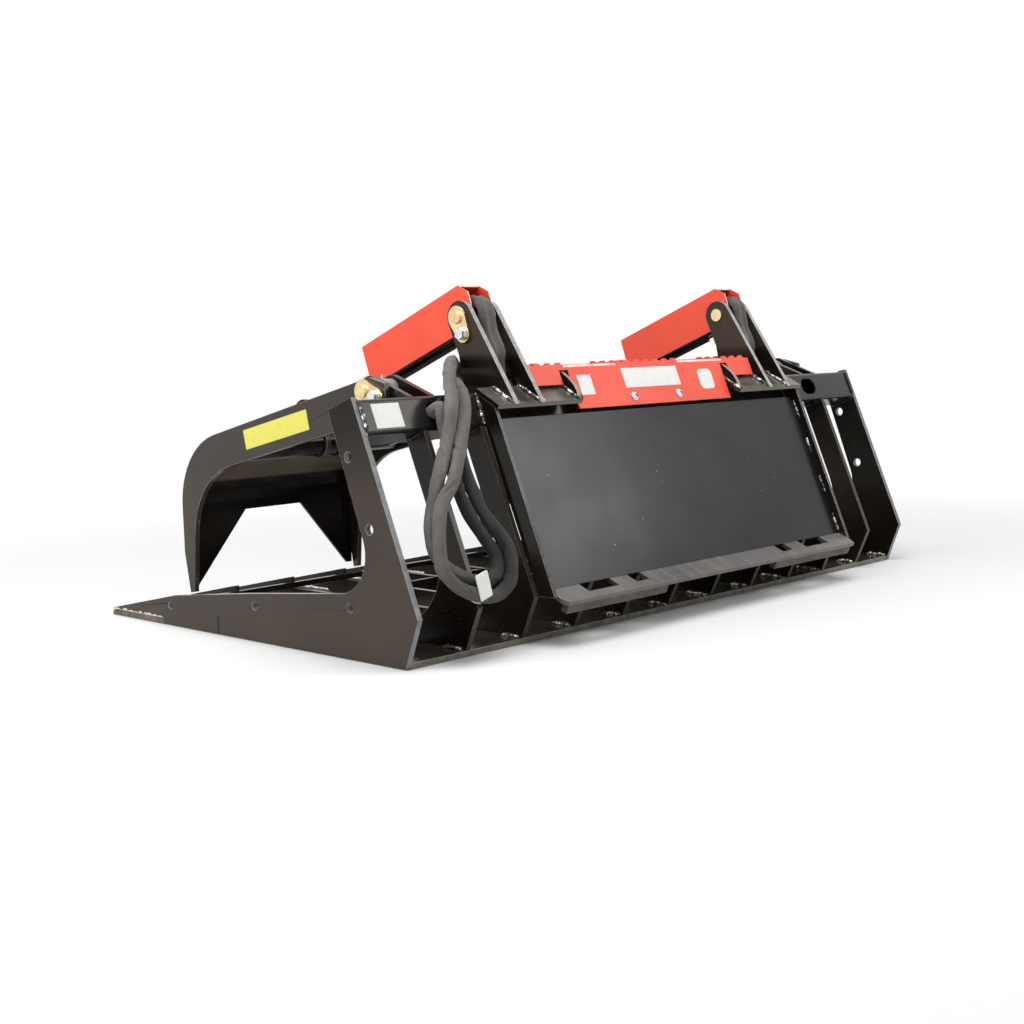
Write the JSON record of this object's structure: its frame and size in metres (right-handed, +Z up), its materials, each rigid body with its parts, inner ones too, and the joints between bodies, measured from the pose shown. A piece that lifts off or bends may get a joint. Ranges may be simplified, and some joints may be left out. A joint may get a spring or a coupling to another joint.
{
  "type": "brush grapple",
  "caption": "Skid steer brush grapple: a rack of curved steel tines under hooked upper arms, each closed by its own hydraulic cylinder, with a rear coupler and a step.",
  "frame": {"origin": "on the ground, in the middle of the rack's rear bottom edge", "axes": "+X across the grapple towards its own left seen from behind the tips, +Y to the rear, +Z up; the tine tips point along -Y"},
  "size_m": [1.829, 1.1379, 0.752],
  "materials": {
    "black_paint": "gloss black paint",
    "worn_paint": "dusty, scratched dark grey paint",
    "red_paint": "semi-gloss orange red paint",
    "bare_edge": "dull brownish steel",
    "yellow_zinc": "yellow zinc plating",
    "bright_zinc": "bright zinc plating",
    "hard_chrome": "polished hard chrome",
    "hose_sleeve": "grey woven sleeve over rubber",
    "blank_tag": "plain white"
  },
  "bodies": {
    "rack": {"left_side_plate": "black_paint", "right_side_plate": "black_paint", "tines_1": "black_paint", "tines_2": "black_paint", "tines_3": "black_paint", "tines_4": "black_paint", "tines_5": "black_paint", "tip_wear_bars": "bare_edge", "top_tube": "black_paint", "rear_cross_plate": "black_paint", "front_cross_bars": "black_paint", "coupler_plate": "worn_paint", "coupler_lips": "black_paint", "lip_gussets": "black_paint", "coupler_ledge": "worn_paint", "ledge_bars": "bare_edge", "coupler_flanges": "black_paint", "left_ears": "black_paint", "right_ears": "black_paint", "left_hinge_lugs": "black_paint", "right_hinge_lugs": "black_paint", "step_cover": "red_paint", "step_bolts": "bright_zinc", "base_pins": "yellow_zinc", "base_pin_bolts": "bright_zinc", "hose_tee_blocks": "bright_zinc", "supply_hose_1": "hose_sleeve", "supply_hose_2": "hose_sleeve", "hose_couplers": "bright_zinc", "hose_tie": "blank_tag", "left_cylinder_hoses": "hose_sleeve", "right_cylinder_hoses": "hose_sleeve"},
    "left_arm": {"left_outer_hook": "black_paint", "left_inner_hook": "black_paint", "left_skirt": "black_paint", "left_arm_tube": "black_paint", "left_rod_lugs": "black_paint", "left_pivot_straps": "black_paint", "left_pivot_pins": "yellow_zinc", "left_pivot_bolts": "bright_zinc", "left_rod_pin": "yellow_zinc"},
    "right_arm": {"right_outer_hook": "black_paint", "right_inner_hook": "black_paint", "right_skirt": "black_paint", "right_arm_tube": "black_paint", "right_rod_lugs": "black_paint", "right_pivot_straps": "black_paint", "right_pivot_pins": "yellow_zinc", "right_pivot_bolts": "bright_zinc", "right_rod_pin": "yellow_zinc"},
    "left_cylinder": {"left_barrel": "black_paint", "left_gland": "bright_zinc", "left_guard": "red_paint"},
    "right_cylinder": {"right_barrel": "black_paint", "right_gland": "bright_zinc", "right_guard": "red_paint"},
    "left_cylinder_rod": {"left_rod": "hard_chrome", "left_piston": "hard_chrome"},
    "right_cylinder_rod": {"right_rod": "hard_chrome", "right_piston": "hard_chrome"}
  },
  "joints": [
    {"name": "left_arm_hinge", "type": "hinge", "parent": "rack", "child": "left_arm", "pos_m": [0.474, -0.256, 0.532], "axis": [-1, 0, 0], "range_deg": [0, 60]},
    {"name": "right_arm_hinge", "type": "hinge", "parent": "rack", "child": "right_arm", "pos_m": [-0.474, -0.256, 0.532], "axis": [-1, 0, 0], "range_deg": [0, 60]},
    {"name": "left_cylinder_hinge", "type": "hinge", "parent": "rack", "child": "left_cylinder", "pos_m": [0.474, -0.226, 0.683], "axis": [-1, 0, 0], "range_deg": [0, 58]},
    {"name": "left_rod_slide", "type": "slide", "parent": "left_cylinder", "child": "left_cylinder_rod", "axis": [0, 0.9291, 0.3698], "range_m": [0, 0.156]},
    {"name": "right_cylinder_hinge", "type": "hinge", "parent": "rack", "child": "right_cylinder", "pos_m": [-0.474, -0.226, 0.683], "axis": [-1, 0, 0], "range_deg": [0, 58]},
    {"name": "right_rod_slide", "type": "slide", "parent": "right_cylinder", "child": "right_cylinder_rod", "axis": [0, 0.9291, 0.3698], "range_m": [0, 0.156]}
  ],
  "couplings": [
    {"joint": "left_cylinder_hinge", "follows": "left_arm_hinge", "ratio": 0.956},
    {"joint": "left_rod_slide", "follows": "left_arm_hinge", "m_per_rad": 0.14668},
    {"joint": "right_cylinder_hinge", "follows": "right_arm_hinge", "ratio": 0.956},
    {"joint": "right_rod_slide", "follows": "right_arm_hinge", "m_per_rad": 0.14668}
  ]
}
